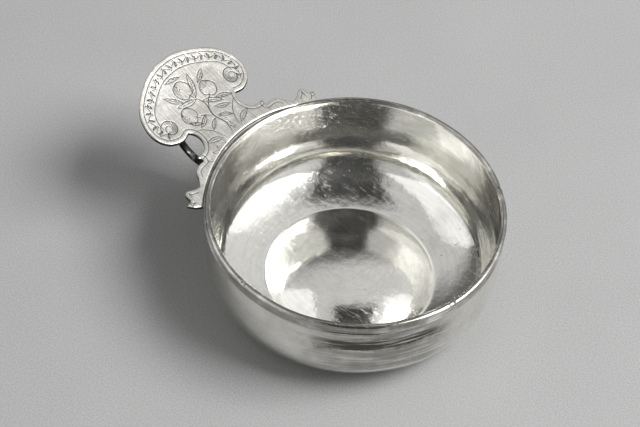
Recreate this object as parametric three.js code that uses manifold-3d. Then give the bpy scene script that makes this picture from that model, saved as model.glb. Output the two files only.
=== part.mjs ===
// Silver cider taster: a raised bowl with a domed base, a moulded wire round its lip, a cut
// thumb plate soldered to the rim, and a finger ring soldered below the plate to the bowl's side.
// Millimetres, +Z up. The handle points along +X. The origin is on the table, in the middle of the
// object's length and width, so the bowl's own axis stands a little way along -X.

import * as THREE from 'three';
import { mergeVertices } from 'three/addons/utils/BufferGeometryUtils.js';
import Module from 'manifold-3d';

// Bowl
const mouthRadius = 45; // outermost circle of the rim, on the wire
const rimHeight = 32.4; // height of that circle above the table
const wall = 0.8; // silver sheet of the bowl
const bellyDrawIn = 0.05; // the belly is this much narrower than the rim wire
const bellyHeight = 16.5; // widest part of the side, where it starts to turn in
const footRadius = 28.3; // outer edge of the flat ring that the bowl stands on
const kickRadius = 26; // edge of the domed middle of the base
const kickRise = 5.3; // height of that dome

// Rim wire
const wireHeight = 3.7; // from the rim circle down to the wire's lower edge
const wireRise = 0.7; // from the rim circle up to the top of its roll
const rollRadius = 0.6;
const coveDepth = 0.45; // hollow between the roll and the lower bead
const beadHeight = 0.8;
const beadRound = 0.1; // how much the bead draws in at its edges
const wireFoot = 0.5; // thickness of the wire at its lower edge
const wireTop = 1.05; // thickness of the wire at its roll
const wireGap = 0.1; // solder between the wire and the bowl's wall

// Thumb plate
const plateThickness = 1.1;
const plateLift = 1; // top of the plate above the rim circle, where it leaves the rim
const plateTilt = THREE.MathUtils.degToRad(16);
const plateCurl = 0.003; // rise per square millimetre past the curl's start
const curlStart = 3; // distance from the rim at which the plate starts to curl up
const headReach = 30.9; // tip of the plate beyond the rim circle
const headHalfWidth = 21;
const notchRadius = 4.1; // C-shaped notch on each side of the neck
const notchOut = 6.9; // its centre beyond the rim circle
const notchAcross = 14; // and to each side of the centre line
const notchCusp = THREE.MathUtils.degToRad(-41); // where the notch meets the head, seen from its centre
const spurLength = 1.8; // point that stands out at the lower end of each notch
const shoulderOut = 4.1; // bulge of the edge past the spur, out from the rim
const dipAlong = 22.9; // hollow between that bulge and the ear, measured along the rim
const earOut = 5.7; // tip of the ear, out from the rim
const earReach = 29.3; // where the plate's ends leave the rim, measured along the rim

// Finger ring
const ringRadius = 13; // outside
const ringWidth = 2.3;
const ringThickness = 1.1;
const threadWidth = 0.55; // raised thread along each edge of the ring
const threadHeight = 0.25;

// Solder
const solderGap = 0.25; // clearance between soldered pieces
const solderLeg = 1; // height and width of the seam under the plate
const seamEndSpace = 3; // the seam stops this far short of the plate's ends
const blobRadius = 2.6; // solder round each joint of the ring
const blobSpread = 0.9; // how far it spreads past each edge of the ring

// Facets, and how far a cutting solid runs past what it cuts
const bowlSteps = 64;
const ringSteps = 48;
const arcSteps = 16;
const spare = 2;

// Places worked out from the sizes
const axisX = -headReach / 2;
const bellyRadius = mouthRadius - bellyDrawIn;
const neckHeight = rimHeight - wireHeight;
const neckRadius = mouthRadius - wireFoot - wireGap;
const lipRadius = mouthRadius - wireTop - wireGap;
const ringAcrossRim = bellyRadius + solderGap + ringRadius;
const ringBelowRim = plateLift - plateThickness / Math.cos(plateTilt)
  + Math.tan(plateTilt) * (ringAcrossRim - mouthRadius)
  - (ringRadius + solderGap) / Math.cos(plateTilt);

const wasm = await Module();
wasm.setup();

function solid(geometry) {
  const bare = geometry.clone();
  bare.deleteAttribute('normal');
  bare.deleteAttribute('uv');
  const merged = mergeVertices(bare, 1e-4);
  const vertProperties = new Float32Array(merged.attributes.position.array);
  const triVerts = new Uint32Array(merged.index.array);
  return new wasm.Manifold(new wasm.Mesh({ numProp: 3, vertProperties, triVerts }));
}

function geometryOf(manifold) {
  const mesh = manifold.getMesh();
  const geometry = new THREE.BufferGeometry();
  geometry.setAttribute('position', new THREE.BufferAttribute(mesh.vertProperties, 3));
  geometry.setIndex(new THREE.BufferAttribute(mesh.triVerts, 1));
  geometry.computeVertexNormals();
  return geometry;
}

const at = (radius, height) => new THREE.Vector2(radius, height);

// Turns a profile of radius and height round the upright axis
function turned(profile, steps) {
  return new THREE.LatheGeometry(profile, steps).rotateX(Math.PI / 2);
}

// The profile moved sideways by a distance, to the left of its direction
function beside(profile, distance) {
  return profile.map((point, i) => {
    const before = profile[Math.max(i - 1, 0)];
    const after = profile[Math.min(i + 1, profile.length - 1)];
    const along = after.clone().sub(before).normalize();
    return at(point.x - along.y * distance, point.y + along.x * distance);
  });
}

// Arc of the domed base from the axis out to the height of its edge
function dome(sphere, centreHeight, edgeHeight, steps) {
  const widest = Math.acos((edgeHeight - centreHeight) / sphere);
  return Array.from({ length: steps + 1 }, (_, i) => {
    const angle = widest * i / steps;
    return at(sphere * Math.sin(angle), centreHeight + sphere * Math.cos(angle));
  });
}

// Outside of the bowl's side, from the foot ring up to the top of its wall
function sideProfile() {
  const turnIn = bellyRadius - footRadius;
  const side = new THREE.EllipseCurve(footRadius, bellyHeight, turnIn, bellyHeight, -Math.PI / 2, 0);
  const shoulder = new THREE.QuadraticBezierCurve(
    at(bellyRadius, bellyHeight),
    at(bellyRadius, (bellyHeight + neckHeight) / 2),
    at(neckRadius, neckHeight),
  );
  return [...side.getPoints(12).slice(0, -1), ...shoulder.getPoints(4), at(lipRadius, rimHeight)];
}

function bowlGeometry() {
  const outside = sideProfile();
  const inside = beside(outside, wall);
  const lipOut = outside.at(-1);
  const lipIn = inside.at(-1);
  const lipMiddle = lipOut.clone().add(lipIn).multiplyScalar(0.5);
  const lip = [45, 90, 135].map((degrees) => {
    const angle = THREE.MathUtils.degToRad(degrees);
    return at(lipMiddle.x + wall / 2 * Math.cos(angle), lipMiddle.y + wall / 2 * Math.sin(angle));
  });
  const sphere = (kickRadius ** 2 + kickRise ** 2) / (2 * kickRise);
  const centreHeight = kickRise - sphere;
  const underside = dome(sphere, centreHeight, 0, 6);
  const floor = dome(sphere + wall, centreHeight, wall, 6);
  const profile = [...underside, ...outside, ...lip, ...inside.reverse(), ...floor.reverse()];
  return turned(profile, bowlSteps);
}

function wireGeometry() {
  const bottom = rimHeight - wireHeight;
  const top = rimHeight + wireRise;
  const rollMiddle = mouthRadius - rollRadius;
  const coveRadius = mouthRadius - coveDepth;
  const profile = [
    at(neckRadius + wireGap, bottom),
    at(mouthRadius - beadRound, bottom),
    at(mouthRadius, bottom + beadHeight / 2),
    at(mouthRadius - beadRound, bottom + beadHeight),
    at(coveRadius, (bottom + beadHeight + rimHeight - rollRadius) / 2),
    at(rollMiddle + rollRadius * Math.SQRT1_2, rimHeight - rollRadius * Math.SQRT1_2),
    at(mouthRadius, rimHeight),
    at(rollMiddle + rollRadius * Math.SQRT1_2, rimHeight + wireRise * Math.SQRT1_2),
    at(rollMiddle, top),
    at(lipRadius + wireGap, rimHeight + wireRise / 2),
    at(lipRadius + wireGap, rimHeight),
  ];
  return turned([...profile, profile[0]], bowlSteps);
}

// Outline of the thumb plate, seen from above. Along the rim, a point is given by its distance
// along the rim circle from the centre line and its distance out from that circle. Past the
// neck it is given by its distance beyond the rim and across the centre line.
function besideRim(along, out) {
  const angle = along / mouthRadius;
  return at((mouthRadius + out) * Math.cos(angle), (mouthRadius + out) * Math.sin(angle));
}

const pastRim = (beyond, across) => at(mouthRadius + beyond, across);

// Points between two places along the rim, given as shares of the way between them and of a
// distance out from the rim
function edgeAlong(from, to, out, shape) {
  return shape.map(([share, height]) => besideRim(from + (to - from) * share, out * height));
}

const mirrored = (points) => points.map((point) => at(point.x, -point.y)).reverse();

const smooth = (points, steps) => new THREE.SplineCurve(points).getPoints(steps);

function notchArc() {
  const centre = pastRim(notchOut, notchAcross);
  const arc = new THREE.EllipseCurve(
    centre.x, centre.y, notchRadius, notchRadius, notchCusp, -Math.PI, true,
  );
  return arc.getPoints(9);
}

function plateOutline() {
  const cusp = notchArc()[0];
  const headLength = mouthRadius + headReach - cusp.x;
  const headShape = [[1, 0], [0.94, 0.37], [0.73, 0.77], [0.51, 0.95], [0.26, 1], [0.06, 0.9], [-0.03, 0.7]];
  const halfHead = headShape.map(([out, across]) => at(cusp.x + headLength * out, headHalfWidth * across));
  halfHead.push(cusp);
  const head = smooth([...mirrored(halfHead).slice(0, -1), ...halfHead], 48);
  const spurTip = pastRim(notchOut - notchRadius, notchAcross + spurLength);
  const spurAlong = mouthRadius * Math.atan2(spurTip.y, spurTip.x);
  const spur = [spurTip, ...edgeAlong(spurAlong, dipAlong, shoulderOut, [[-0.03, 0.98], [0, 0.8]])];
  const shoulderShape = [[0, 0.8], [0.2, 0.97], [0.49, 1], [0.73, 0.66], [1, 0.49]];
  const shoulder = smooth(edgeAlong(spurAlong, dipAlong, shoulderOut, shoulderShape), 10);
  const earShape = [[0, 0.35], [0.25, 0.63], [0.41, 0.95], [0.59, 1], [0.72, 0.86], [0.81, 0.7]];
  const ear = smooth(edgeAlong(dipAlong, earReach, earOut, earShape), 12);
  const tail = edgeAlong(dipAlong, earReach, earOut, [[1.11, 0.86], [1.11, 0.46]]);
  tail.push(besideRim(earReach, solderGap));
  const side = [...notchArc().slice(1), ...spur, ...shoulder.slice(1), ...ear.slice(1), ...tail];
  const seat = Array.from({ length: arcSteps - 1 }, (_, i) => {
    return besideRim(earReach * (1 - 2 * (i + 1) / arcSteps), solderGap);
  });
  return [...head, ...side, ...seat, ...mirrored(side)];
}

// Height of the plate's top above the rim circle, a distance beyond that circle
function plateHeight(beyond) {
  return plateLift + Math.tan(plateTilt) * beyond + plateCurl * Math.max(beyond - curlStart, 0) ** 2;
}

// Layer of the tilted and curled plate between two depths under its top
function plateLayer(topDepth, bottomDepth, start, end) {
  const halfWidth = mouthRadius;
  const slant = Math.cos(plateTilt);
  const upper = [];
  const lower = [];
  for (let i = 0; i <= arcSteps; i += 1) {
    const beyond = start + (end - start) * i / arcSteps;
    upper.push(at(mouthRadius + beyond, rimHeight + plateHeight(beyond) - topDepth / slant));
    lower.push(at(mouthRadius + beyond, rimHeight + plateHeight(beyond) - bottomDepth / slant));
  }
  const shape = new THREE.Shape([...lower, ...upper.reverse()]);
  const layer = new THREE.ExtrudeGeometry(shape, { depth: 2 * halfWidth, bevelEnabled: false });
  return solid(layer.translate(0, 0, -halfWidth).rotateX(Math.PI / 2));
}

function upright(outline) {
  const shape = new THREE.Shape(outline);
  const depth = rimHeight + plateHeight(headReach) + spare;
  return solid(new THREE.ExtrudeGeometry(shape, { depth, bevelEnabled: false }));
}

const plateStart = besideRim(earReach, 0).x - mouthRadius - spare;

function plateGeometry() {
  const layer = plateLayer(0, plateThickness, plateStart, headReach + spare);
  return geometryOf(upright(plateOutline()).intersect(layer));
}

// Seam of solder under the plate's inner edge, along the wire
function seamGeometry() {
  const reach = earReach - seamEndSpace;
  const rimSide = [];
  const outSide = [];
  for (let i = 0; i <= arcSteps; i += 1) {
    const along = reach * (2 * i / arcSteps - 1);
    rimSide.push(besideRim(along, solderGap));
    outSide.push(besideRim(along, solderGap + solderLeg));
  }
  const depth = plateThickness + solderGap;
  const layer = plateLayer(depth, depth + solderLeg, plateStart, solderGap + solderLeg + spare);
  return geometryOf(upright([...outSide, ...rimSide.reverse()]).intersect(layer));
}

// Ring standing in the plane through the handle, grown by a clearance where another piece is cut
function ringGeometry(growth) {
  const outer = ringRadius + growth;
  const inner = ringRadius - ringThickness - growth;
  const edge = ringWidth / 2 + growth;
  const field = edge - threadWidth;
  const halfProfile = [
    at(outer - threadHeight, 0),
    at(outer - threadHeight, field),
    at(outer, field + threadWidth / 3),
    at(outer, edge - threadWidth / 3),
    at(outer - threadHeight, edge),
    at(inner, edge),
  ];
  const otherHalf = halfProfile.slice(1).map((point) => at(point.x, -point.y)).reverse();
  const profile = [...otherHalf, ...halfProfile, otherHalf[0]];
  const ring = new THREE.LatheGeometry(profile, ringSteps);
  return ring.translate(ringAcrossRim, 0, rimHeight + ringBelowRim);
}

// Round pad of solder across the ring, at an angle from its middle. It lies along both edges and
// the inside of the ring, and leaves free the strip between the ring and what it is soldered to.
function solderPad(angle) {
  const pad = new THREE.CylinderGeometry(blobRadius, blobRadius, ringWidth + 2 * blobSpread, arcSteps);
  const strip = new THREE.BoxGeometry(2 * blobRadius, ringWidth + 2 * solderGap, 2 * blobRadius + spare);
  strip.translate(blobRadius - ringThickness / 2, 0, 0);
  const [whole, free] = [pad, strip].map((piece) => {
    piece.translate(ringRadius, 0, 0).rotateY(-angle);
    return solid(piece.translate(ringAcrossRim, 0, rimHeight + ringBelowRim));
  });
  return whole.subtract(free).subtract(solid(ringGeometry(solderGap)));
}

function topSolderGeometry() {
  const depth = plateThickness + solderGap;
  const space = plateLayer(depth, depth + 2 * blobRadius, plateStart, headReach);
  return geometryOf(solderPad(Math.PI / 2 + plateTilt).intersect(space));
}

function sideSolderGeometry() {
  const around = beside(sideProfile(), -solderGap);
  const bowlSpace = turned([at(0, around[0].y), ...around, at(0, around.at(-1).y)], bowlSteps);
  return geometryOf(solderPad(Math.PI).subtract(solid(bowlSpace)));
}

const silver = { color: 0xc9c8c2, metalness: 1 };
const polished = new THREE.MeshStandardMaterial({ ...silver, roughness: 0.18 });
const satin = new THREE.MeshStandardMaterial({ ...silver, roughness: 0.34 });
const solder = new THREE.MeshStandardMaterial({ color: 0xb5b3ab, metalness: 1, roughness: 0.45 });

const taster = new THREE.Group();
taster.position.x = axisX;

function addPiece(name, geometry, material) {
  const mesh = new THREE.Mesh(geometry, material);
  mesh.name = name;
  taster.add(mesh);
}

addPiece('bowl', bowlGeometry(), polished);
addPiece('rim_wire', wireGeometry(), polished);
addPiece('thumb_plate', plateGeometry(), satin);
addPiece('finger_ring', ringGeometry(0), polished);
addPiece('plate_solder', seamGeometry(), solder);
addPiece('ring_top_solder', topSolderGeometry(), solder);
addPiece('ring_side_solder', sideSolderGeometry(), solder);

const model = new THREE.Group();
model.add(taster);

export default model;
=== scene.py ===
"""Silver cider taster: a raised bowl with a moulded wire round its lip, an engraved thumb plate
soldered to the rim and a finger ring below it.

Metres, +Z up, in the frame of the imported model: the handle points along +X and the table is at
height 0. Lengths are written in millimetres, times mm.
"""

import math

import bmesh
import bpy
import numpy as np
from mathutils import Matrix, Vector
from mathutils.geometry import delaunay_2d_cdt
from mathutils.kdtree import KDTree


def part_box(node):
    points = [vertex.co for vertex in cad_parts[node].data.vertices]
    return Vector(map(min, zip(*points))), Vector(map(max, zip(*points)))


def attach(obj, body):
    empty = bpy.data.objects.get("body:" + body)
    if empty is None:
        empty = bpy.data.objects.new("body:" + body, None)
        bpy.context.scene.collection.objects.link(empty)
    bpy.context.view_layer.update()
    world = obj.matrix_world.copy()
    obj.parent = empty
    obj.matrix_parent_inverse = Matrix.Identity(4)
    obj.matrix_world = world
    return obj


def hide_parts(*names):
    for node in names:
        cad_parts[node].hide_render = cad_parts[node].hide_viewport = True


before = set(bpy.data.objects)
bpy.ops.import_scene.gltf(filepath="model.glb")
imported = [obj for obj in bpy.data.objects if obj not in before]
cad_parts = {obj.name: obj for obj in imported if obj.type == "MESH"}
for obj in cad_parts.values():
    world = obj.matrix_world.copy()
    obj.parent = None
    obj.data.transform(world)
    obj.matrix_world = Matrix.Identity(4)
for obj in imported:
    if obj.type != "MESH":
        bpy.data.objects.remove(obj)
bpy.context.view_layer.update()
mm = 0.001


# Bowl
# A disc of silver sheet, raised over a stake with a hammer into a round belly that closes in a
# little under the lip. The middle of the base is domed up, and the bowl stands on a flat ring.
# The hammer work was planished and polished by hand, so the surface is never quite true.

bowl_low, bowl_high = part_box("bowl")
wire_low, wire_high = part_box("rim_wire")
bowl_axis = Vector(((wire_low.x + wire_high.x) / 2, (wire_low.y + wire_high.y) / 2, 0))
mouth_radius = (wire_high.x - wire_low.x) / 2
rim_height = wire_high.z - 0.7 * mm
belly_radius = (bowl_high.x - bowl_low.x) / 2
sheet = 0.8 * mm
belly_height = 16.5 * mm
foot_radius = 28.3 * mm
kick_radius = 26 * mm
kick_rise = 5.1 * mm
foot_reach = 31 * mm
floor_slope = 12
crease_reach = 0.6 * mm
neck_radius = mouth_radius - 0.6 * mm
lip_radius = mouth_radius - 0.95 * mm
bowl_steps = 320
hand_unevenness = 0.45 * mm
uneven_patch = 21 * mm


def arc(middle, radius, start, end, steps):
    """Points on an arc between two angles in degrees."""
    angles = np.radians(np.linspace(start, end, steps + 1))
    return [(middle[0] + radius * math.cos(a), middle[1] + radius * math.sin(a)) for a in angles]


def beside(points, distance):
    """A line of points moved sideways, to the left of its direction."""
    line = np.array(points)
    ahead = np.gradient(line, axis=0)
    ahead /= np.linalg.norm(ahead, axis=1)[:, None]
    return [tuple(p) for p in line + distance * np.stack([-ahead[:, 1], ahead[:, 0]], 1)]


def evenly(points, spacing):
    """The line with points at an even spacing, and its corners kept."""
    line = np.array(points, float)
    made = [line[0]]
    for start, end in zip(line, line[1:]):
        steps = max(1, round(np.linalg.norm(end - start) / spacing))
        made += [start + (end - start) * i / steps for i in range(1, steps + 1)]
    return [tuple(point) for point in made]


def bent(start, control, end, steps):
    """Points on a curve from start to end that leans to its control point."""
    start, control, end = (np.array(p) for p in (start, control, end))
    shares = np.linspace(0, 1, steps + 1)
    return [tuple((1 - t) ** 2 * start + 2 * t * (1 - t) * control + t ** 2 * end) for t in shares]


def eased_corner(before, corner, after, reach, steps):
    """A corner between two straight runs, turned into a curve that starts a reach before it."""
    before, corner, after = (np.array(p) for p in (before, corner, after))
    start = corner + (before - corner) / np.linalg.norm(before - corner) * reach
    end = corner + (after - corner) / np.linalg.norm(after - corner) * reach
    return bent(start, corner, end, steps)


def turned_up(foot, slope, wall):
    """The curve from the foot, where it climbs at a slope in degrees, up to the start of the wall."""
    foot, start = np.array(foot), np.array(wall[0])
    climb = math.tan(math.radians(slope))
    steep = (wall[1][1] - wall[0][1]) / (wall[1][0] - wall[0][0])
    reach = (steep * (start[0] - foot[0]) - start[1] + foot[1]) / (steep - climb)
    return [*bent(foot, foot + (reach, reach * climb), start, 20)[:-1], *wall]


def bowl_profile():
    """Radius and height round the wall, from the axis under the base to the axis above it."""
    wall = []
    for angle in np.radians(np.linspace(-40, 0, 25)):
        out = foot_radius + (belly_radius - foot_radius) * math.cos(angle)
        wall.append((out, belly_height + belly_height * math.sin(angle)))
    shoulder = (belly_radius, (belly_height + wire_low.z) / 2)
    wall += bent(wall[-1], shoulder, (neck_radius, wire_low.z), 14)[1:]
    wall += evenly([wall[-1], (lip_radius, rim_height)], 0.6 * mm)[1:]
    side = turned_up((foot_reach, 0), 0, wall)
    sphere = (kick_radius ** 2 + kick_rise ** 2) / (2 * kick_rise)
    sphere_middle = (0, kick_rise - sphere)
    half_under = math.degrees(math.asin(kick_radius / sphere))
    half_upper = math.degrees(math.acos((sphere - kick_rise + sheet) / (sphere + sheet)))
    under = arc(sphere_middle, sphere, 90, 90 - half_under, 16)
    upper = arc(sphere_middle, sphere + sheet, 90 - half_upper, 90, 30)
    under_edge = eased_corner(under[-2], under[-1], side[0], 0.7 * mm, 4)
    inside = turned_up(upper[0], floor_slope, beside(wall, sheet))[::-1]
    lip_middle = ((side[-1][0] + inside[0][0]) / 2, (side[-1][1] + inside[0][1]) / 2)
    lip = arc(lip_middle, sheet / 2, 15, 165, 8)
    crease = eased_corner(inside[-2], upper[0], upper[1], crease_reach, 8)
    dome = [point for point in upper if point[0] < crease[-1][0]]
    return [*under[:-1], *under_edge, *side, *lip, *inside[1:-1], *crease, *dome]


class Socket:
    """An output of a node. Arithmetic on it adds Math nodes to its tree."""

    def __init__(self, tree, output):
        self.tree = tree
        self.output = output

    def __getitem__(self, name):
        return Socket(self.tree, self.output.node.outputs[name])

    def math(self, operation, *others):
        return self.tree.math(operation, self, *others)

    def __add__(self, other):
        return self.tree.math("ADD", self, other)

    def __sub__(self, other):
        return self.tree.math("SUBTRACT", self, other)

    def __rsub__(self, other):
        return self.tree.math("SUBTRACT", other, self)

    def __mul__(self, other):
        return self.tree.math("MULTIPLY", self, other)

    def __truediv__(self, other):
        return self.tree.math("DIVIDE", self, other)

    def __rtruediv__(self, other):
        return self.tree.math("DIVIDE", other, self)

    __radd__ = __add__
    __rmul__ = __mul__


class Tree:
    """A tree of nodes for a geometry or a material, while it is being made."""

    def __init__(self, tree):
        self.tree = tree

    def node(self, kind, settings=None, inputs=None):
        """Adds a node: its settings first, then the values or links of its inputs."""
        made = self.tree.nodes.new(kind)
        for name, value in (settings or {}).items():
            setattr(made, name, value)
        for name, value in (inputs or {}).items():
            fitting = [s for s in made.inputs if s.enabled and s.name == name]
            socket = made.inputs[name] if isinstance(name, int) else fitting[0]
            if isinstance(value, Socket):
                self.tree.links.new(value.output, socket)
            else:
                socket.default_value = value
        return Socket(self, next((s for s in made.outputs if s.enabled), None))

    def math(self, operation, *values):
        return self.node("ShaderNodeMath", {"operation": operation}, dict(enumerate(values)))

    def vector(self, operation, *values):
        return self.node("ShaderNodeVectorMath", {"operation": operation}, dict(enumerate(values)))

    def scaled(self, vector, factor):
        inputs = {"Vector": vector, "Scale": factor}
        return self.node("ShaderNodeVectorMath", {"operation": "SCALE"}, inputs)

    def parts(self, vector):
        return self.node("ShaderNodeSeparateXYZ", None, {"Vector": vector})

    def together(self, x, y, z):
        return self.node("ShaderNodeCombineXYZ", None, {"X": x, "Y": y, "Z": z})

    def rise(self, value, low, high):
        """0 below low, 1 above high and smooth in between."""
        inputs = {"Value": value, "From Min": low, "From Max": high}
        return self.node("ShaderNodeMapRange", {"interpolation_type": "SMOOTHSTEP"}, inputs)

    def noise(self, position, size, detail=2.0, roughness=0.5):
        """Noise of about 0 to 1 in patches of that size."""
        scale = 1 / size
        inputs = {"Vector": position, "Scale": scale, "Detail": detail, "Roughness": roughness}
        return self.node("ShaderNodeTexNoise", None, inputs)


def geometry_tree(name, inputs):
    """A geometry node tree with its named inputs after the geometry, and one output."""
    group = bpy.data.node_groups.new(name, "GeometryNodeTree")
    group.interface.new_socket(name="Geometry", in_out="OUTPUT", socket_type="NodeSocketGeometry")
    group.interface.new_socket(name="Geometry", in_out="INPUT", socket_type="NodeSocketGeometry")
    for label, kind in inputs.items():
        group.interface.new_socket(name=label, in_out="INPUT", socket_type="NodeSocket" + kind)
    tree = Tree(group)
    return tree, tree.node("NodeGroupInput")


def end_tree(tree, shape, material):
    """Ends a geometry tree in a real mesh with its material."""
    real = tree.node("GeometryNodeRealizeInstances", None, {"Geometry": shape})
    dressed = tree.node("GeometryNodeSetMaterial", None, {"Geometry": real, "Material": material})
    tree.node("NodeGroupOutput", None, {"Geometry": dressed})
    return tree


def noted(tree, shape, name, value):
    """The shape with a value stored on its points under that name."""
    settings = {"data_type": "FLOAT", "domain": "POINT"}
    inputs = {"Geometry": shape, "Name": name, "Value": value}
    return tree.node("GeometryNodeStoreNamedAttribute", settings, inputs)


def settled(piece, material):
    """The piece with what its modifiers make as its plain mesh, in that one material."""
    made = piece.evaluated_get(bpy.context.evaluated_depsgraph_get())
    mesh = bpy.data.meshes.new_from_object(made)
    mesh.materials.clear()
    mesh.materials.append(material)
    piece.modifiers.clear()
    piece.data = mesh
    return piece


def run_tree(piece, tree, values):
    """Runs a geometry tree on a piece, and keeps what it makes as the piece's plain mesh."""
    modifier = piece.modifiers.new("making", "NODES")
    modifier.node_group = tree.tree
    for item in tree.tree.interface.items_tree:
        if item.name in values:
            modifier[item.identifier] = values[item.name]
    return settled(piece, values["Material"])


def added(name, data):
    """A new object of the scene with that data."""
    thing = bpy.data.objects.new(name, data)
    bpy.context.scene.collection.objects.link(thing)
    return thing


def new_piece(name, points, edges, faces):
    mesh = bpy.data.meshes.new(name)
    mesh.from_pydata([tuple(point) for point in points], edges, faces)
    return added(name, mesh)


def fitted(piece, slot, *nodes):
    """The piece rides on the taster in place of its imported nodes."""
    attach(piece, "root")
    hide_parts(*nodes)


def turning_tree():
    """Turns a profile of radius and height round an axis, a little unevenly, as handwork is."""
    tree, given = geometry_tree("turned silver", {
        "Middle": "Vector",
        "Turn": "Vector",
        "Steps Round": "Int",
        "Unevenness": "Float",
        "Patch Size": "Float",
        "Dome Lean": "Vector",
        "Material": "Material",
    })
    position = tree.node("GeometryNodeInputPosition")
    size = tree.node("GeometryNodeAttributeDomainSize", None, {"Geometry": given["Geometry"]})
    count = size["Point Count"]
    grid = tree.node("GeometryNodeMeshGrid", None, {
        "Size X": 1.0,
        "Size Y": 1.0,
        "Vertices X": given["Steps Round"] + 1,
        "Vertices Y": count,
    })
    place = tree.parts(position)
    turn = place["X"] * math.tau
    index = ((place["Y"] + 0.5) * (count - 1)).math("ROUND")
    line = tree.node("GeometryNodeMeshToCurve", None, {"Mesh": given["Geometry"]})

    def sampled(kind, field):
        inputs = {"Geometry": line, "Value": field, "Index": index}
        return tree.node("GeometryNodeSampleIndex", {"data_type": kind}, inputs)

    along = sampled("FLOAT", tree.node("GeometryNodeSplineParameter")["Length"])
    point = tree.parts(sampled("FLOAT_VECTOR", position))
    true = tree.together(point["X"] * turn.math("COSINE"), point["X"] * turn.math("SINE"), point["Z"])
    turned = tree.node("ShaderNodeVectorRotate", {"rotation_type": "EULER_XYZ"}, {
        "Vector": true,
        "Rotation": given["Turn"],
    })
    placed = tree.vector("ADD", turned, given["Middle"])
    clear_of_table = tree.rise(tree.parts(placed)["Z"], 0.0, 8 * mm)
    flat = tree.vector("MULTIPLY", tree.vector("SUBTRACT", placed, given["Middle"]), (1.0, 1.0, 0.0))
    out = tree.vector("LENGTH", flat)["Value"] / kick_radius
    on_dome = (1 - out.math("POWER", 5.0)).math("MAXIMUM", 0.0)
    lift = tree.vector("DOT_PRODUCT", flat, given["Dome Lean"])["Value"] * on_dome
    offset = tree.together(0.0, 0.0, lift)
    for finer, share in ((1.0, 1.0), (3.3, 0.22), (8.0, 0.045)):
        patches = tree.node("ShaderNodeTexNoise", None, {
            "Vector": placed,
            "Scale": finer / given["Patch Size"],
            "Detail": 0.0,
        })
        sway = tree.vector("SUBTRACT", patches["Color"], (0.5, 0.5, 0.5))
        strength = clear_of_table * given["Unevenness"] * share
        offset = tree.vector("ADD", tree.scaled(sway, strength), offset)
    shaped = tree.node("GeometryNodeSetPosition", None, {
        "Geometry": noted(tree, grid, "along", along),
        "Position": placed,
        "Offset": offset,
    })
    closed = tree.node("GeometryNodeMergeByDistance", None, {"Geometry": shaped, "Distance": 0.002 * mm})
    smooth = tree.node("GeometryNodeSetShadeSmooth", None, {"Geometry": closed})
    return end_tree(tree, smooth, given["Material"])


def chain(count, first=0):
    """Edges that join so many points in a row, from the first one on."""
    return [(first + i, first + i + 1) for i in range(count - 1)]


def turned_piece(name, profile, steps, middle, turn, unevenness, material, dome_lean=(0, 0, 0)):
    points = [(radius, 0, height) for radius, height in profile]
    return run_tree(new_piece(name, points, chain(len(points)), []), turned_silver, {
        "Middle": middle,
        "Turn": turn,
        "Steps Round": steps,
        "Unevenness": unevenness,
        "Patch Size": uneven_patch,
        "Dome Lean": dome_lean,
        "Material": material,
    })


turned_silver = turning_tree()
silver_colour = (0.90, 0.893, 0.85, 1)
tarnish_colour = (0.50, 0.485, 0.438, 1)
# Colour of the painted dark reflection on the belly, with some tarnish in it.
dark_reflection_colour = (0.10, 0.092, 0.075, 1)
# Black of tarnish in pits and cut lines, and of the painted shade on the plate's side edge.
black_tarnish_and_shade = (0.014, 0.013, 0.012, 1)
# Where the painted dark reflection on the belly sits: the side toward the camera, between these heights.
painted_reflection_side = (-0.73, 0.68)
painted_reflection_foot = 21 * mm
painted_reflection_top = 27.5 * mm
painted_reflection_fade = 2 * mm


def mixed(tree, share, first, second):
    """A mix of two colours, all of the first at a share of 0 and of the second at 1."""
    inputs = {"Factor": share, "A": first, "B": second}
    return tree.node("ShaderNodeMix", {"data_type": "RGBA"}, inputs)


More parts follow.
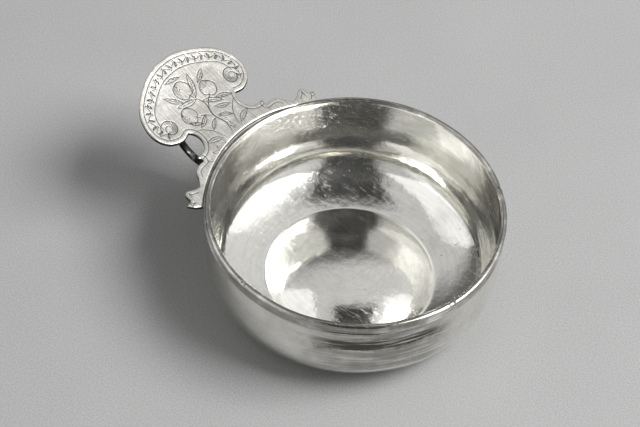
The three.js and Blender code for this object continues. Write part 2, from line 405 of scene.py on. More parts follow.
def silver(name, roughness, tarnish, scratches, turned_round=None, engraved=False,
           film_colour=tarnish_colour, bare_below=0.40, painted_belly_reflection=False):
    """Worn silver: a film of tarnish in patches, rubbed streaks, scratches and fine pits.

    Where the piece was turned, its streaks run round that point's upright axis. Where it is
    engraved, its cut attribute says how deep, and tarnish fills the lines; the plate's side edge is
    black with painted shade and dark reflection.
    The bowl gets a painted dark reflection with some tarnish on its belly, on the side toward the
    camera, most in a streak under its wire.
    """
    material = bpy.data.materials.new(name)
    material.use_nodes = True
    tree = Tree(material.node_tree)
    shader = tree.tree.nodes["Principled BSDF"]
    position = tree.node("ShaderNodeTexCoord")["Object"]

    film = tree.rise(tree.noise(position, 11 * mm, 5.0, 0.6), bare_below, bare_below + 0.32)
    smudge = tree.noise(position, 3.5 * mm, 4.0, 0.6)
    planished = tree.noise(position, 3.2 * mm, 3.0, 0.5)
    streaks = smudge
    if turned_round is not None:
        outward = tree.vector("MULTIPLY", tree.vector("SUBTRACT", position, turned_round), (1, 1, 0))
        round_axis = tree.parts(tree.vector("NORMALIZE", outward))
        along = tree.node("ShaderNodeAttribute", {"attribute_name": "along"})["Fac"]
        wound = tree.together(round_axis["X"] * 2.5, round_axis["Y"] * 2.5, along / (0.9 * mm))
        streaks = tree.noise(wound, 1.0, 5.0, 0.65)
    if engraved:
        brushed = tree.node("ShaderNodeMapping", None, {
            "Vector": position,
            "Rotation": (0, 0, 0.5),
            "Scale": (1 / (7 * mm), 1 / (0.28 * mm), 1 / (7 * mm)),
        })
        streaks = tree.noise(brushed, 1.0, 3.0, 0.6)
    # Painted dark reflection with some tarnish: a dark band down the belly on the side toward the
    # camera, darkest under the wire.
    if painted_belly_reflection:
        height = tree.parts(position)["Z"] + (streaks - 0.5) * (3 * mm) + (smudge - 0.5) * (4 * mm)
        radius = tree.vector("LENGTH", outward)["Value"]
        outside = tree.rise(radius, belly_radius - 0.9 * mm, belly_radius - 0.7 * mm)
        facing = round_axis["X"] * painted_reflection_side[0] + round_axis["Y"] * painted_reflection_side[1] + smudge * 0.1
        over_foot = tree.rise(height, painted_reflection_foot, painted_reflection_foot + painted_reflection_fade)
        under_wire = over_foot * (1 - tree.rise(height, painted_reflection_top - painted_reflection_fade, painted_reflection_top))
        spot = tree.rise(facing, 0.90, 1.02) * under_wire
        painted_reflection = outside * (tree.rise(facing, 0.85, 1.08) * 0.7 + spot * 0.6)
    cells = tree.node("ShaderNodeTexVoronoi", None, {"Vector": position, "Scale": 1 / (4 * mm)})
    rare = tree.rise(tree.parts(cells["Color"])["X"], 0.60, 0.64)
    pits = rare * (1 - tree.rise(cells["Distance"], 0.03, 0.06))

    marks = None
    for turn, length, seed in ((0.4, 9 * mm, 0.0), (1.5, 6 * mm, 0.3), (2.6, 12 * mm, 0.7)):
        stretched = tree.node("ShaderNodeMapping", None, {
            "Vector": position,
            "Location": (seed, seed, seed),
            "Rotation": (0.3, 0.2, turn),
            "Scale": (1 / length, 14 / length, 14 / length),
        })
        line = tree.noise(stretched, 1.0, 1.0)
        thin = 1 - tree.rise((line - 0.5).math("ABSOLUTE"), 0.0, 0.012)
        broken = tree.rise(tree.noise(stretched, 1.7, 2.0), 0.52, 0.66)
        marks = thin * broken if marks is None else marks + thin * broken

    dark = film * tarnish + (smudge - 0.5) * (tarnish * 0.5) + (streaks - 0.45) * (tarnish * 2.2)
    dark = dark.math("MAXIMUM", 0.0).math("MINIMUM", 1.0)
    colour = mixed(tree, dark, silver_colour, film_colour)
    # The belly's painted dark reflection, with some tarnish, mixed over the silver.
    if painted_belly_reflection:
        colour = mixed(tree, painted_reflection * tree.rise(streaks, 0.2, 0.6), colour, dark_reflection_colour)
    tarnish_and_edge_shade = pits
    if engraved:
        lines = tree.rise(tree.node("ShaderNodeAttribute", {"attribute_name": "cut"})["Fac"], 0.0, 0.15)
        # The edge attribute marks the plate's side, which is painted black: painted shade and dark
        # reflection, not tarnish.
        edge = tree.node("ShaderNodeAttribute", {"attribute_name": "edge"})["Fac"]
        tarnish_and_edge_shade = pits.math("MAXIMUM", lines).math("MAXIMUM", edge)
    colour = mixed(tree, tarnish_and_edge_shade, colour, black_tarnish_and_shade)
    gloss = roughness + film * 0.05 + (streaks - 0.5) * 0.14 + marks * (scratches * 0.3) + tarnish_and_edge_shade * 0.6
    if painted_belly_reflection:
        gloss = gloss + painted_reflection * 0.15
    height = planished * 0.07 + streaks * 0.0025 - marks * (scratches * 0.006) - pits * 0.03
    bump = tree.node("ShaderNodeBump", None, {"Strength": 1.0, "Distance": 1 * mm, "Height": height})
    for socket, value in (
        ("Base Color", colour),
        ("Roughness", gloss.math("MAXIMUM", 0.05)),
        ("Metallic", 1 - tarnish_and_edge_shade * 0.95 - film * 0.05),
        ("Normal", bump),
    ):
        tree.tree.links.new(value.output, shader.inputs[socket])
    return material


bowl = turned_piece(
    "bowl_body",
    bowl_profile(),
    bowl_steps,
    bowl_axis,
    (0, 0, 0),
    hand_unevenness,
    silver("polished silver of the bowl", 0.09, 0.35, 0.7, bowl_axis, painted_belly_reflection=True),
    dome_lean=(-0.041, 0.025, 0),
)
fitted(bowl, "polished_silver", "bowl")


# Rim wire
# A drawn silver wire with a roll, a hollow and a bead, bent round the bowl's lip and soldered
# there. It stiffens the rim, and the lip was burnished over it, which left a fine seam on top.

roll_radius = 0.85 * mm
lip_edge_radius = 0.38 * mm
bead_radius = 0.36 * mm
bead_height = wire_low.z + 0.8 * mm
hollow_depth = 0.55 * mm
wire_steps = 640
wire_tarnish = (0.3, 0.29, 0.262, 1)


def wire_profile():
    roll_middle = (mouth_radius - roll_radius, wire_high.z - roll_radius - 0.05 * mm)
    roll = arc(roll_middle, roll_radius, -50, 128, 20)
    edge_middle = (roll[-1][0] - 0.13 * mm, roll[-1][1] - 0.45 * mm)
    lip_edge = arc(edge_middle, lip_edge_radius, 70, 235, 14)
    bead = arc((mouth_radius - bead_radius - 0.06 * mm, bead_height), bead_radius, -100, 60, 10)
    hollow = (mouth_radius - hollow_depth, (bead[-1][1] + roll[0][1]) / 2)
    side = bent(bead[-1], hollow, roll[0], 10)[1:-1]
    foot = (neck_radius + 0.05 * mm, wire_low.z)
    inside_sheet = (lip_radius - sheet / 2, lip_edge[-1][1] - 0.3 * mm)
    profile = [foot, *bead, *side, *roll, *lip_edge, inside_sheet]
    return [*profile, profile[0]]


def nicked(piece, azimuth, height, reach, depth):
    """Knocks a dent into the rim there, down and toward the bowl's axis."""
    out = Vector((math.cos(math.radians(azimuth)), math.sin(math.radians(azimuth)), 0))
    spot = bowl_axis + out * (mouth_radius - 0.7 * mm) + Vector((0, 0, height))
    push = (out + Vector((0, 0, 1))).normalized() * -depth
    for vertex in piece.data.vertices:
        share = max(0.0, 1 - (vertex.co - spot).length / reach)
        vertex.co += push * share ** 0.7


rim_wire = turned_piece(
    "rim_wire_moulding",
    wire_profile(),
    wire_steps,
    bowl_axis,
    (0, 0, 0),
    hand_unevenness,
    silver("polished silver of the wire", 0.12, 0.8, 0.8, bowl_axis, film_colour=wire_tarnish,
           bare_below=0.25),
)
for azimuth, over_rim, reach, depth in (
    (80, 0.3, 0.9, 0.5),
    (76, 0.1, 0.8, 0.3),
    (165, 0, 1.4, 0.45),
    (230, 0.2, 1.0, 0.35),
):
    nicked(rim_wire, azimuth, rim_height + over_rim * mm, reach * mm, depth * mm)
fitted(rim_wire, "polished_silver", "rim_wire")


# Thumb plate
# A flat of silver sawn and filed to its outline, engraved, and bent so that it climbs from the rim
# and curls up at the tip. The lines were cut with a burin: they swell, thin out and hold tarnish.
# The plate is drawn flat and in millimetres, along and across the handle from the bowl's axis.

mouth = mouth_radius / mm
plate_thickness = 1.1
plate_lift = 1
plate_slope = math.tan(math.radians(16))
plate_curl = 0.003
curl_start = 3
head_reach = 30.9
head_half_width = 21
notch_radius = 4.1
notch_out = 6.9
notch_across = 14
notch_cusp = -41
spur_length = 1.8
shoulder_out = 4.1
dip_along = 22.9
ear_out = 5.7
ear_reach = 29.3
seat_gap = 0.25
edge_round = 0.28
under_round = 0.15
border_in = 1.35
band_in = 4.7
volute_middle = (14.3, 14.6)
volute_radius = 3.2
vine_length = 4.7
cut_steepness = 0.15
grid_start = mouth - 8
grid_side = 32


def past_rim(beyond, across):
    return (mouth + beyond, across)


def beside_rim(along, out):
    angle = along / mouth
    return ((mouth + out) * math.cos(angle), (mouth + out) * math.sin(angle))


def smooth(points, steps):
    """An even curve through the points."""
    knots = np.array([points[0], *points, points[-1]], float)
    curve = []
    for place in np.linspace(0, len(points) - 1, steps + 1):
        i = min(int(place), len(points) - 2)
        t = place - i
        a, b, c, d = knots[i:i + 4]
        lead, trail = (c - a) / 2, (d - b) / 2
        curve.append((2 * b - 2 * c + lead + trail) * t ** 3
                     + (3 * c - 3 * b - 2 * lead - trail) * t ** 2 + lead * t + b)
    return [tuple(point) for point in curve]


def mirrored(points):
    return [(x, -y) for x, y in reversed(points)]


def edge_along(start, end, out, shape):
    return [beside_rim(start + (end - start) * share, out * height) for share, height in shape]


def head_line():
    cusp = arc(past_rim(notch_out, notch_across), notch_radius, notch_cusp, notch_cusp, 1)[0]
    length = mouth + head_reach - cusp[0]
    shape = [(1, 0), (0.94, 0.37), (0.73, 0.77), (0.51, 0.95), (0.26, 1), (0.06, 0.9), (-0.03, 0.7)]
    half = [(cusp[0] + length * out, head_half_width * across) for out, across in shape] + [cusp]
    return smooth(mirrored(half)[:-1] + half, 260)


def side_line():
    """The edge past the head on one side: notch, spur, shoulder, ear and tail."""
    notch = arc(past_rim(notch_out, notch_across), notch_radius, notch_cusp, -180, 32)
    spur_tip = past_rim(notch_out - notch_radius, notch_across + spur_length)
    spur_along = mouth * math.atan2(spur_tip[1], spur_tip[0])
    spur = smooth([notch[-1], spur_tip, *edge_along(spur_along, dip_along, shoulder_out,
                                                    [(-0.03, 0.98), (0, 0.8)])], 14)
    shoulder = smooth(edge_along(spur_along, dip_along, shoulder_out,
                                 [(0, 0.8), (0.2, 0.97), (0.49, 1), (0.73, 0.66), (1, 0.49)]), 34)
    ear_shape = [(0, 0.35), (0.25, 0.63), (0.41, 0.95), (0.59, 1), (0.72, 0.86), (0.81, 0.7)]
    ear = smooth(edge_along(dip_along, ear_reach, ear_out, ear_shape), 30)
    tail = edge_along(dip_along, ear_reach, ear_out, [(1.11, 0.86), (1.11, 0.46)])
    end = beside_rim(ear_reach, seat_gap)
    return [*notch[1:], *spur[1:], *shoulder[1:], *ear[1:], *evenly([ear[-1], *tail, end], 0.4)[1:]]


def plate_outline():
    side = side_line()
    seat = [beside_rim(ear_reach * (1 - 2 * i / 150), seat_gap) for i in range(1, 150)]
    return [*head_line(), *side, *seat, *mirrored(side)]


cuts = []


def cut(points, width, swell=0.7):
    """One stroke of the burin through the points, swelling to its width in the middle."""
    line = np.array(evenly(points, 0.17))
    share = np.linspace(0, 1, len(line))
    cuts.append((line, width / 2 * (1 - swell + swell * np.sin(math.pi * share) ** 0.7)))


def curved_cut(points, width, swell=0.7):
    cut(smooth(points, 8 * len(points)), width, swell)


def leaf(base, tip, width, veins, bend=0.0):
    """A pointed leaf with a midrib and side veins."""
    base, tip = np.array(base, float), np.array(tip, float)
    ahead = tip - base
    across = np.array((-ahead[1], ahead[0])) / np.linalg.norm(ahead)
    rib = bent(base, base + ahead / 2 + across * bend, tip, 12)
    cut(rib[:-1], 0.16)
    for side in (1, -1):
        edge = bent(base, base + ahead * 0.42 + across * (bend + side * width * 1.35), tip, 14)
        cut(edge, 0.26)
    for i in range(veins):
        start, end = rib[2 + round(8 * i / veins)], edge[4 + round(8 * i / veins)]
        cut([start, np.array(start) + (np.array(end) - start) * 0.85], 0.12, 0.5)


def apple(middle, radius, lean):
    """A round fruit with a dip at its stalk, a blossom end and shading down one side."""
    middle = np.array(middle, float)
    angles = np.linspace(0, math.tau, 49)
    dip = 0.20 * np.exp(-(((angles + math.pi) % math.tau - math.pi) / 0.32) ** 2)
    foot = 0.07 * np.exp(-((angles % math.tau - math.pi) / 0.25) ** 2)
    swing = angles + lean
    size = radius * (1 - dip - foot)
    cut(middle + np.stack([size * np.cos(swing), size * np.sin(swing)], 1), 0.28, 0.25)
    stalk = np.array((math.cos(lean), math.sin(lean)))
    cut([middle + stalk * radius * 0.62, middle + stalk * radius * 1.28], 0.26, 0.3)
    shaded_side = math.degrees(lean) - 130
    for i in range(4):
        share = 0.84 - 0.15 * i
        reach = 64 - 12 * i
        cut(arc(middle, radius * share, shaded_side - reach, shaded_side + reach, 12), 0.15)
    cut(arc(middle - stalk * radius * 0.78, radius * 0.12, 20, 160, 4), 0.2, 0.2)


def volute(side):
    """The rolled end of the band: a spiral, with finer lines in its groove where it is in shade."""
    middle = past_rim(volute_middle[0], side * volute_middle[1])
    whole_turn = 0.56
    for inward, first, last, width in (
        (0, 0, 1, 0.3),
        (0.2, 0.18, 0.52, 0.16),
        (0.42, 0.14, 0.56, 0.18),
        (0.64, 0.18, 0.52, 0.18),
        (0.82, 0.24, 0.46, 0.16),
        (0.3, 0.74, 0.96, 0.16),
    ):
        turns = np.linspace(first, last, 60)
        angle = side * (math.radians(100) - turns * math.tau / whole_turn)
        size = volute_radius * (1 - 0.86 * (turns + inward * whole_turn))
        line = np.stack([middle[0] + size * np.cos(angle), middle[1] + size * np.sin(angle)], 1)
        cut(line[size > 0.25], width, 0.5)


def engrave_field():
    """The apple branch in the middle, its two volutes and the scrolls and shading on the neck."""
    for side in (1, -1):
        volute(side)
        curved_cut([past_rim(1.6, side * 3.4), past_rim(5.2, side * 4.6), past_rim(8.3, side * 7.6),
                    past_rim(9.0, side * 10.0)], 0.24)
        leaf(past_rim(2.2, side * 4.4), past_rim(4.0, side * 9.6), 1.15, 4, side * -0.5)
        leaf(past_rim(5.6, side * 4.4), past_rim(8.1, side * 0.9), 0.85, 3, side * 0.4)
        leaf(past_rim(10.8, side * 2.2), past_rim(8.6, side * 6.8), 0.95, 4, side * 0.5)
        for i in range(9):
            start = 5.2 + 1.15 * i
            hatch = [beside_rim(start + along, out) for along, out in ((0, 0.9), (0.5, 1.5), (1.4, 1.9))]
            curved_cut(hatch, 0.12)
    stem = ((1.2, 0.6), (5, -0.5), (9, 0.5), (13, -0.6), (16.4, 0.2))
    curved_cut([past_rim(*point) for point in stem], 0.4)
    for i in range(11):
        start = 2.2 + 0.62 * i
        cut([past_rim(start, -0.7), past_rim(start - 0.7, -1.7)], 0.14)
    curved_cut([past_rim(9, 0.5), past_rim(10.6, 2.4), past_rim(11.6, 4.0)], 0.26)
    curved_cut([past_rim(11, 0.1), past_rim(13, -1.8), past_rim(14.1, -3.2)], 0.26)
    apple(past_rim(13.4, 6.6), 2.7, math.radians(-135))
    apple(past_rim(16.2, -5.4), 2.7, math.radians(140))
    apple(past_rim(20.3, 1.6), 3.0, math.radians(-165))
    for base, tip, width, bend in (
        ((16.0, 0.4), (17.4, 7.6), 1.25, 0.5),
        ((16.4, 0.2), (23.6, -3.9), 1.3, -0.5),
        ((14.4, -0.4), (10.6, -6.2), 1.15, 0.5),
        ((17.6, 4.6), (22.2, 8.6), 1.1, 0.4),
        ((19.4, -4.4), (22.0, -9.0), 1.05, -0.4),
        ((12.6, -4.6), (10.4, -10.0), 0.95, 0.4),
        ((11.8, 8.6), (9.0, 4.9), 0.8, -0.3),
        ((24.0, -1.0), (25.0, 4.6), 0.8, -0.3),
    ):
        leaf(past_rim(*base), past_rim(*tip), width, 5, bend)


def engrave_borders(outline):
    """A line inside the edge, and the inner line of the band from one volute to the other."""
    seat_free = [p for p in beside(outline, border_in) if math.hypot(*p) > mouth + border_in + 0.35]
    runs = [[seat_free[0]]]
    for before, point in zip(seat_free, seat_free[1:]):
        if math.dist(before, point) > 1.2:
            runs.append([])
        runs[-1].append(point)
    for run in runs:
        if len(run) > 6:
            cut(run[::2], 0.24, 0.15)
    inner = [p for p in beside(head_line(), band_in) if p[0] > mouth + volute_middle[0] + 1.2]
    cut(inner[::2], 0.24, 0.15)


def lines_piece(name, drawn):
    """The strokes as chains of edges, each point with half the width of its cut."""
    points = np.concatenate([line for line, width in drawn])
    edges, first = [], 0
    for line, width in drawn:
        edges += chain(len(line), first)
        first += len(line)
    piece = new_piece(name, [(x, y, 0) for x, y in points], edges, [])
    widths = piece.data.attributes.new("half_width", "FLOAT", "POINT")
    widths.data.foreach_set("value", np.concatenate([width for line, width in drawn]))
    return piece


def vine_motif():
    """One length of the running vine in the band: a wave of stem, with a leaf in each bend."""
    start = len(cuts)
    quarter = vine_length / 4
    places = np.linspace(-2 * quarter, 2 * quarter, 25)
    cut([(x, 0.6 * math.sin(x / quarter * math.pi / 2)) for x in places], 0.2, 0)
    for side in (1, -1):
        leaf((side * quarter - 0.3, side * 0.5), (side * quarter + 0.5, side * -1.0), 0.42, 0)
        curved_cut([(side * quarter - 0.1, side * 0.95), (side * quarter + 0.4, side * 1.1)], 0.34, 0.4)
    motif = lines_piece("vine motif", cuts[start:])
    del cuts[start:]
    return motif


def running_tree():
    """Repeats a motif along a line."""
    tree, given = geometry_tree("running ornament", {
        "Motif": "Object",
        "Count": "Int",
        "Material": "Material",
    })
    line = tree.node("GeometryNodeMeshToCurve", None, {"Mesh": given["Geometry"]})
    places = tree.node("GeometryNodeCurveToPoints", {"mode": "COUNT"}, {
        "Curve": line,
        "Count": given["Count"],
    })
    motif = tree.node("GeometryNodeObjectInfo", None, {"Object": given["Motif"]})["Geometry"]
    turned = tree.node("FunctionNodeAlignRotationToVector", {"axis": "X"}, {"Vector": places["Tangent"]})
    copies = tree.node("GeometryNodeInstanceOnPoints", None, {
        "Points": places,
        "Instance": motif,
        "Rotation": turned,
    })
    return end_tree(tree, copies, given["Material"])


def band_line():
    half_way = (border_in + band_in) / 2
    return [p for p in beside(head_line(), half_way) if p[0] > mouth + volute_middle[0] - 0.2]


def all_lines(material):
    """Every cut on the plate, as one piece of edges."""
    engrave_field()
    engrave_borders(plate_outline())
    middle = band_line()
    length = sum(math.dist(a, b) for a, b in zip(middle, middle[1:]))
    path = new_piece("band line", [(x, y, 0) for x, y in middle], chain(len(middle)), [])
    motif = vine_motif()
    count = round(length / vine_length) + 1
    run_tree(path, running_tree(), {"Motif": motif, "Count": count, "Material": material})
    lines = lines_piece("engraved lines", cuts)
    with bpy.context.temp_override(active_object=lines, selected_editable_objects=[lines, path]):
        bpy.ops.object.join()
    bpy.data.objects.remove(motif)
    return lines


def finder(points):
    """A tree that finds the nearest of the points to a place."""
    found = KDTree(len(points))
    for i, (x, y) in enumerate(points):
        found.insert((x, y, 0), i)
    found.balance()
    return found


def in_triangles(points, ties, count):
    """Triangles between the points that keep the ties. The first points, so many, are the outline."""
    ring = [(i, (i + 1) % count) for i in range(count)]
    return delaunay_2d_cdt([Vector(p) for p in points], ties + ring, [list(range(count))], 1, 1e-5)


def flat_top(outline, lines, inside, wall):
    """The top face, cut into triangles that follow the outline and every engraved line."""
    mesh = lines.data
    centre = np.zeros(3 * len(mesh.vertices))
    mesh.vertices.foreach_get("co", centre)
    centre = centre.reshape(-1, 3)[:, :2]
    half = np.zeros(len(mesh.vertices))
    mesh.attributes["half_width"].data.foreach_get("value", half)
    edges = np.zeros(2 * len(mesh.edges), int)
    mesh.edges.foreach_get("vertices", edges)
    edges = edges.reshape(-1, 2)
    start, end = centre[edges[:, 0]], centre[edges[:, 1]]
    across = np.stack([start[:, 1] - end[:, 1], end[:, 0] - start[:, 0]], 1)
    across /= np.maximum(np.linalg.norm(across, axis=1), 1e-9)[:, None]
    reach = (half[edges[:, 0]] + half[edges[:, 1]])[:, None] / 2
    banks = [(start + end) / 2 + side * across * reach for side in (1, -1)]
    joins = np.bincount(edges.ravel())
    for this, other in ((0, 1), (1, 0)):
        tips = edges[joins[edges[:, this]] == 1]
        beyond = centre[tips[:, this]] - centre[tips[:, other]]
        beyond /= np.linalg.norm(beyond, axis=1)[:, None]
        banks.append(centre[tips[:, this]] + beyond * half[tips[:, this]][:, None])

    points = [*outline]
    for inset in (0.07, 0.16, edge_round):
        ring = beside(outline, inset)
        points += [p for p in ring if wall.find((*p, 0))[2] > 0.85 * inset]

    def clear_of_edge(x, y):
        return inside(x, y) and wall.find((x, y, 0))[2] > 0.1

    number = {}
    for i, (x, y) in enumerate(centre):
        if clear_of_edge(x, y):
            number[i] = len(points)
            points.append((x, y))
    taken = set()
    cell = 0.06
    for x, y in (p for bank in banks for p in bank if clear_of_edge(*p)):
        key = (round(x / cell), round(y / cell))
        if key not in taken:
            taken.add(key)
            points.append((x, y))
    near = finder(points)
    spacing = 0.42
    rows = np.arange(-grid_side, grid_side, spacing * 0.866)
    for j, y in enumerate(rows):
        for x in np.arange(grid_start, mouth + head_reach, spacing) + (j % 2) * spacing / 2:
            if inside(x, y) and near.find((x, y, 0))[2] > 0.24:
                points.append((x, y))
    ties = [(number[a], number[b]) for a, b in edges if a in number and b in number]
    made = in_triangles(points, ties, len(outline))
    heights = []
    for x, y in made[0]:
        gone = max(0.0, edge_round - wall.find((x, y, 0))[2])
        heights.append(math.sqrt(max(edge_round ** 2 - gone ** 2, 0)) - edge_round)
    return made, heights


def outline_test(outline):
    """A test of whether a point lies inside the outline."""
    line = np.array(outline)
    ahead = np.roll(line, -1, axis=0)

    def inside(x, y):
        crossing = (line[:, 1] > y) != (ahead[:, 1] > y)
        a, b = line[crossing], ahead[crossing]
        at = a[:, 0] + (y - a[:, 1]) / (b[:, 1] - a[:, 1]) * (b[:, 0] - a[:, 0])
        return np.count_nonzero(at > x) % 2 == 1

    return inside


def flat_plate(outline, lines):
    """The flat plate as a closed mesh, its top at height 0."""
    count = len(outline)
    inside = outline_test(outline)
    wall = finder(outline)
    points = [*outline]
    points += [p for p in beside(outline, under_round) if wall.find((*p, 0))[2] > 0.85 * under_round]
    spacing = 1.1
    for x in np.arange(grid_start, mouth + head_reach, spacing):
        for y in np.arange(-grid_side, grid_side, spacing):
            if inside(x, y) and wall.find((x, y, 0))[2] > 0.6:
                points.append((x, y))
    under = in_triangles(points, [], count)
    top, heights = flat_top(outline, lines, inside, wall)

    vertices = [(x, y, z) for (x, y), z in zip(top[0], heights)]
    first = len(vertices)
    for x, y in under[0]:
        lift = under_round if wall.find((x, y, 0))[2] < 0.01 else 0
        vertices.append((x, y, lift - plate_thickness))
    faces = [tuple(face) for face in top[2]]
    faces += [tuple(first + i for i in reversed(face)) for face in under[2]]
    upper, lower = {}, {}
    for found, made in ((upper, top), (lower, under)):
        for i, sources in enumerate(made[3]):
            for source in sources:
                if source < count:
                    found[source] = i
    for i in range(count):
        j = (i + 1) % count
        faces.append((upper[i], first + lower[i], first + lower[j], upper[j]))
    return new_piece("thumb_plate_engraved", vertices, [], faces)


def engraving_tree():
    """Sinks the lines into the flat plate, and raises it to its place on the rim."""
    tree, given = geometry_tree("engraved plate", {
        "Lines": "Object",
        "Middle": "Vector",
        "Mouth Radius": "Float",
        "Height": "Float",
        "Slope": "Float",
        "Curl": "Float",
        "Curl Start": "Float",
        "Cut Steepness": "Float",
        "Material": "Material",
    })
    position = tree.node("GeometryNodeInputPosition")
    lines = tree.node("GeometryNodeObjectInfo", None, {"Object": given["Lines"]})["Geometry"]
    away = tree.node("GeometryNodeProximity", {"target_element": "EDGES"}, {
        "Geometry": lines,
        "Sample Position": position,
    })["Distance"]
    nearest = tree.node("GeometryNodeSampleNearest", None, {
        "Geometry": lines,
        "Sample Position": position,
    })
    stored = tree.node("GeometryNodeInputNamedAttribute", {"data_type": "FLOAT"}, {"Name": "half_width"})
    half = tree.node("GeometryNodeSampleIndex", {"data_type": "FLOAT"}, {
        "Geometry": lines,
        "Value": stored,
        "Index": nearest,
    })
    depth = (1 - away / half).math("MAXIMUM", 0.0)
    place = tree.parts(position)
    below = 0 - place["Z"]
    underside = tree.rise(below, plate_thickness - under_round + 0.02, plate_thickness - 0.02)
    marked = noted(tree, given["Geometry"], "cut", depth)
    # Marks the plate's side edge, which the material paints black as painted shade and dark reflection.
    marked = noted(tree, marked, "edge", tree.rise(below, 0.04, 0.14) * (1 - underside))
    beyond = place["X"] - given["Mouth Radius"]
    curled = (beyond - given["Curl Start"]).math("MAXIMUM", 0.0)
    climb = given["Slope"] * beyond + given["Curl"] * curled * curled
    wave = tree.node("ShaderNodeTexNoise", None, {"Vector": position, "Scale": 0.11, "Detail": 1.0})
    sway = (wave["Fac"] - 0.5) * 0.25 * tree.rise(beyond, 1.0, 8.0)
    height = place["Z"] + given["Height"] + climb + sway - depth * half * given["Cut Steepness"]
    raised = tree.together(place["X"], place["Y"], height)
    full = tree.vector("ADD", tree.scaled(raised, mm), given["Middle"])
    shaped = tree.node("GeometryNodeSetPosition", None, {"Geometry": marked, "Position": full})
    return end_tree(tree, shaped, given["Material"])


satin = silver("engraved satin silver", 0.14, 0.7, 0.5, engraved=True, bare_below=0.25)
engraved_lines = all_lines(satin)
thumb_plate = run_tree(flat_plate(plate_outline(), engraved_lines), engraving_tree(), {
    "Lines": engraved_lines,
    "Middle": bowl_axis,
    "Mouth Radius": mouth,
    "Height": rim_height / mm + plate_lift,
    "Slope": plate_slope,
    "Curl": plate_curl,
    "Curl Start": curl_start,
    "Cut Steepness": cut_steepness,
    "Material": satin,
})
bpy.data.objects.remove(engraved_lines)
thumb_plate.data.shade_smooth()
fitted(thumb_plate, "satin_silver", "thumb_plate")


# Finger ring
# A strip of silver with a raised thread along each edge, bent into a ring and soldered under the
# plate and to the side of the bowl.

ring_low, ring_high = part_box("finger_ring")
ring_middle = (ring_low + ring_high) / 2
ring_radius = (ring_high.x - ring_low.x) / 2
ring_half_width = (ring_high.y - ring_low.y) / 2
ring_thickness = 1.1 * mm
thread_radius = 0.28 * mm
groove_depth = 0.25 * mm
inner_round = 0.3 * mm
ring_steps = 180
ring_unevenness = 0.16 * mm
# Near black: partly tarnish, partly painted shade for the ring's dark reflections under the plate.
ring_tarnish_and_shade = (0.02, 0.019, 0.017, 1)


def ring_profile():
    inner = ring_radius - ring_thickness
    edge_middle = ring_half_width - thread_radius
    thread = arc((ring_radius - thread_radius, edge_middle), thread_radius, -60, 90, 10)
    inner_middle = (inner + inner_round, ring_half_width - inner_round)
    half = [*thread, *arc(inner_middle, inner_round, 90, 180, 6)]
    other = [(out, -height) for out, height in reversed(half)]
    across = np.linspace(-edge_middle * 0.55, edge_middle * 0.55, 5)
    groove = [(ring_radius - groove_depth, height) for height in across]
    profile = [*groove, *half, (inner, 0), *other]
    return [*profile, profile[0]]


# The ring's near-black colour is partly tarnish and partly painted shade.
finger_ring = turned_piece(
    "finger_ring_threaded",
    ring_profile(),
    ring_steps,
    ring_middle,
    (math.pi / 2, 0, 0),
    ring_unevenness,
    silver("dark silver of the ring", 0.25, 1.0, 0.8, film_colour=ring_tarnish_and_shade, bare_below=0.0),
)
fitted(finger_ring, "polished_silver", "finger_ring")


# Solder
# Silver solder that was run into the joints: a seam between the rim wire and the plate, and a
# pad at each of the finger ring's two joints. It is duller than the silver and never filed smooth.

solder_reach = 1.0
solder_tarnish = (0.14, 0.132, 0.12, 1)
seam_reach = ear_reach - 1.2
seam_steps = 150
seam_core = (-0.1, -0.6)
seam_end_size = 0.02
pad_grain = 0.13 * mm


def seam_profile():
    """Radius beyond the rim and height over the plate's top, round the seam's section."""
    under = -plate_thickness / math.cos(math.atan(plate_slope))
    inner = -0.45
    return [
        (-0.16, -0.42),
        (seat_gap + 0.02, -0.16),
        (seat_gap + 0.02, under),
        (seat_gap + solder_reach, under),
        *bent((seat_gap + solder_reach, under), (0.35, under - 0.2), (inner, under - 1.1), 6)[1:],
        (inner, -0.6),
    ]


solder = silver("silver solder", 0.38, 1.0, 0.3, film_colour=solder_tarnish, bare_below=0.2)
section = seam_profile()
seam_points, seam_faces = [], []
for step in range(seam_steps + 1):
    share = 2 * step / seam_steps - 1
    angle = share * seam_reach / mouth
    size = max(min(1.0, (1 - abs(share)) * 12) ** 0.5, seam_end_size)
    for out, height in section:
        radius = mouth + seam_core[0] + (out - seam_core[0]) * size
        x = radius * math.cos(angle)
        climb = rim_height / mm + plate_lift + plate_slope * (x - mouth)
        level = climb + seam_core[1] + (height - seam_core[1]) * size
        seam_points.append(bowl_axis + Vector((x, radius * math.sin(angle), level)) * mm)
for step in range(seam_steps):
    for i in range(len(section)):
        a, b = step * len(section) + i, step * len(section) + (i + 1) % len(section)
        seam_faces.append((a, b, b + len(section), a + len(section)))
seam_faces.append(tuple(reversed(range(len(section)))))
seam_faces.append(tuple(seam_steps * len(section) + i for i in range(len(section))))
seam = new_piece("plate_solder_seam", seam_points, [], seam_faces)
seam.data.materials.append(solder)
seam.data.shade_smooth()
fitted(seam, "silver_solder", "plate_solder")


def solder_pad(name, node):
    """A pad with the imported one's body, rounded as solder that has flowed."""
    pad = added(name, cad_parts[node].data.copy())
    shape = bmesh.new()
    shape.from_mesh(pad.data)
    bmesh.ops.remove_doubles(shape, verts=shape.verts, dist=0.001 * mm)
    shape.to_mesh(pad.data)
    shape.free()
    remesh = pad.modifiers.new("flow", "REMESH")
    remesh.mode = "VOXEL"
    remesh.voxel_size = pad_grain
    ease = pad.modifiers.new("ease", "SMOOTH")
    ease.factor = 0.5
    ease.iterations = 8
    settled(pad, solder).data.shade_smooth()
    fitted(pad, "silver_solder", node)


solder_pad("ring_top_solder_pad", "ring_top_solder")
solder_pad("ring_side_solder_pad", "ring_side_solder")


# Table
# A sheet of pale grey paper under the taster, with a fine grain and faint clouds. It is wide
# enough to fill the view from any side.

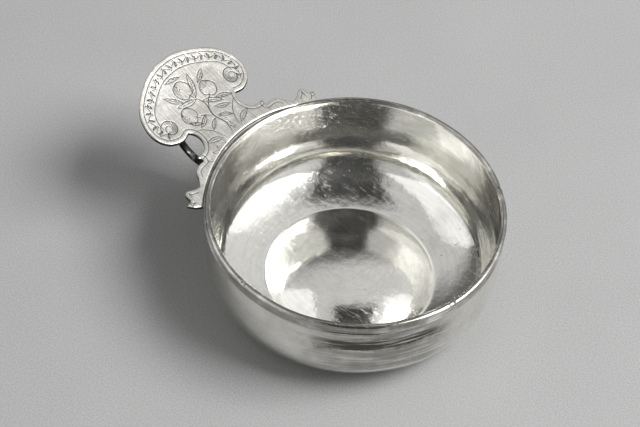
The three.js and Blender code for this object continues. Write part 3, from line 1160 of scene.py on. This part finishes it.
table_half = 2.0
paper_dark = (0.25, 0.25, 0.249, 1)
paper_pale = (0.365, 0.365, 0.363, 1)
paper = bpy.data.materials.new("pale paper")
paper.use_nodes = True
paper_tree = Tree(paper.node_tree)
paper_shader = paper.node_tree.nodes["Principled BSDF"]
on_paper = paper_tree.node("ShaderNodeTexCoord")["Object"]
cloud = paper_tree.noise(on_paper, 60 * mm, 3.0)
grain = paper_tree.noise(on_paper, 0.45 * mm, 2.0)
pale = 0.5 + (cloud - 0.5) * 0.4 + (grain - 0.5) * 2.2
paper_colour = mixed(paper_tree, pale, paper_dark, paper_pale)
paper.node_tree.links.new(paper_colour.output, paper_shader.inputs["Base Color"])
paper_shader.inputs["Roughness"].default_value = 0.85
corners = [(x, y, 0) for x in (-table_half, table_half) for y in (-table_half, table_half)]
table = new_piece("table", corners, [], [(0, 2, 3, 1)])
table.data.materials.append(paper)


# Light and camera
# A soft box with a bright middle stands at one side of the taster and a weaker one at the other,
# in a grey room, dark behind and over the camera, which looks down from the near side.

side_azimuth = 217
view_azimuth = 124.25
view_elevation = 49.73
view_roll = math.radians(4.03)
view_distance = 593.2 * mm
view_target = Vector((-7.8, 7.4, 30.8)) * mm


def bearing(azimuth, elevation=0.0):
    """The direction at an azimuth, where 0 is +X, and an elevation, in degrees."""
    a, e = math.radians(azimuth), math.radians(elevation)
    return Vector((math.cos(a) * math.cos(e), math.sin(a) * math.cos(e), math.sin(e)))


def soft_box(name, azimuth, elevation, distance, width, height, brightness):
    """A soft box that looks at the bowl, with its brightness as it shows in the silver."""
    lamp = bpy.data.lights.new(name, "AREA")
    lamp.shape = "RECTANGLE"
    lamp.size = width
    lamp.size_y = height
    lamp.energy = 4 * brightness * width * height
    box = added(name, lamp)
    back = bearing(azimuth, elevation)
    box.location = bowl_axis + back * distance
    box.rotation_euler = back.to_track_quat("Z", "Y").to_euler()


soft_box("main soft box", side_azimuth + 3, 43, 1.6, 1.33, 1.48, 0.34)
soft_box("main soft box middle", side_azimuth - 9, 52, 1.58, 0.83, 0.77, 12.5)
soft_box("fill soft box", side_azimuth + 183, 50, 1.1, 1.22, 0.88, 0.38)

world = bpy.data.worlds.new("grey room")
world.use_nodes = True
room = Tree(world.node_tree)
toward = room.node("ShaderNodeTexCoord")["Generated"]
sideways = room.vector("DOT_PRODUCT", toward, bearing(side_azimuth))["Value"]
near = room.vector("DOT_PRODUCT", toward, bearing(side_azimuth - 90))["Value"]
upward = room.parts(toward)["Z"]
half_dark = 0.20 + near.math("MAXIMUM", 0.0).math("MINIMUM", 0.4) * 0.32
dark_side = 1 - room.rise((sideways - 0.05).math("ABSOLUTE"), half_dark * 0.75, half_dark * 1.2)
behind_camera = dark_side * room.rise(near, -0.32, -0.18)
lifted = sideways.math("MAXIMUM", 0.0) * 0.45 + near * 0.3
overhead = room.rise(upward + lifted, 0.38, 0.60)
low_left = room.rise(near * 0.35 - sideways, 0.78, 0.92)
room_light = (0.12 + (0.50 + sideways * 0.15) * overhead + 0.4 * low_left) * (1 - 0.93 * behind_camera)
seen = room.node("ShaderNodeLightPath")["Is Camera Ray"]
brightness = room_light * (1 - seen) + 0.5 * seen
background = world.node_tree.nodes["Background"]
world.node_tree.links.new(brightness.output, background.inputs["Color"])
bpy.context.scene.world = world

view_back = bearing(view_azimuth, view_elevation)
lens = bpy.data.cameras.new("camera")
lens.lens = 112.5
lens.sensor_width = 36
camera = added("camera", lens)
camera.location = view_target + view_back * view_distance
level_turn = (-view_back).to_track_quat("-Z", "Y").to_matrix()
camera.rotation_euler = (Matrix.Rotation(view_roll, 3, view_back) @ level_turn).to_euler()
bpy.context.scene.camera = camera
bpy.context.scene.view_settings.view_transform = "Standard"
